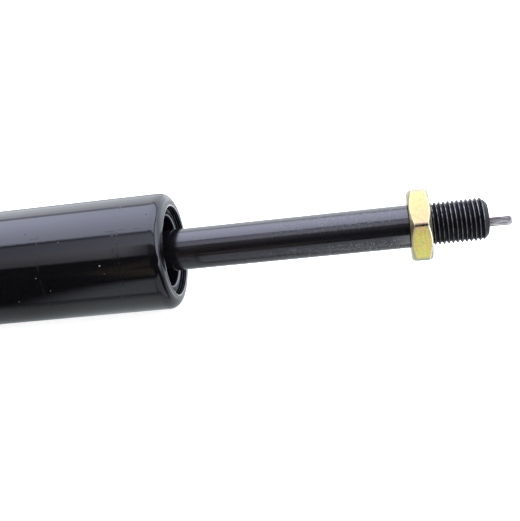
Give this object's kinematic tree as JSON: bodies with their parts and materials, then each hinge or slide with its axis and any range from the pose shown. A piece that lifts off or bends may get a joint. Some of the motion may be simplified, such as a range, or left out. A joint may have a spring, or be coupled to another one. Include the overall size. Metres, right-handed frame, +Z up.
{
  "type": "lockable gas spring",
  "caption": "Lockable gas spring: black steel cylinder with rolled ends, black rod with threaded end and jam nut, release pin through the rod that opens the valve in the piston.",
  "frame": {"origin": "on the axis, in the end plug's seat face, where the cylinder's stud begins", "axes": "+X along the axis, from the cylinder towards the rod; +Z up"},
  "size_m": [0.2388, 0.028, 0.028],
  "materials": {
    "black_paint": "gloss black paint over steel",
    "black_steel": "black coated steel",
    "nitrided_steel": "black nitrided and polished steel",
    "yellow_zinc": "yellow chromated zinc on steel",
    "bright_steel": "bright drawn steel",
    "turned_steel": "turned steel",
    "turned_aluminium": "turned aluminium",
    "bronze": "sintered bronze",
    "black_rubber": "oil-resistant rubber",
    "bearing_plastic": "low-friction plastic"
  },
  "bodies": {
    "cylinder": {"pressure_tube": "black_paint", "end_plug": "black_steel", "end_plug_o_ring": "black_rubber", "rod_guide": "black_steel", "guide_bush": "bronze", "guide_o_ring": "black_rubber", "rod_seal": "black_rubber", "seal_washer": "turned_steel"},
    "piston_rings": {"piston_seal": "black_rubber", "piston_guide_band": "bearing_plastic"},
    "rod": {"piston_rod": "nitrided_steel", "piston": "turned_steel", "stem_seal": "black_rubber", "stem_seal_washer": "turned_steel"},
    "release": {"release_pin": "bright_steel", "valve_tappet": "turned_steel", "tappet_seal": "black_rubber"},
    "nut": {"lock_nut": "yellow_zinc"},
    "separator": {"floating_piston": "turned_aluminium", "floating_piston_o_rings": "black_rubber"}
  },
  "joints": [
    {"name": "rod_slide", "type": "slide", "parent": "cylinder", "child": "piston_rings", "axis": [1, 0, 0], "range_m": [-0.05, 0], "stiffness_N_per_m": 800, "springref_m": 0.125},
    {"name": "rod_turn", "type": "hinge", "parent": "piston_rings", "child": "rod", "pos_m": [0.1483, 0, 0], "axis": [1, 0, 0], "continuous": true},
    {"name": "release_press", "type": "slide", "parent": "rod", "child": "release", "axis": [-1, 0, 0], "range_m": [0, 0.0025], "stiffness_N_per_m": 2000, "springref_m": -0.005},
    {"name": "nut_travel", "type": "slide", "parent": "rod", "child": "nut", "axis": [1, 0, 0], "range_m": [0, 0.011]},
    {"name": "separator_slide", "type": "slide", "parent": "cylinder", "child": "separator", "axis": [1, 0, 0], "range_m": [-0.008, 0]}
  ],
  "couplings": [
    {"joint": "separator_slide", "follows": "rod_slide", "ratio": 0.16}
  ]
}
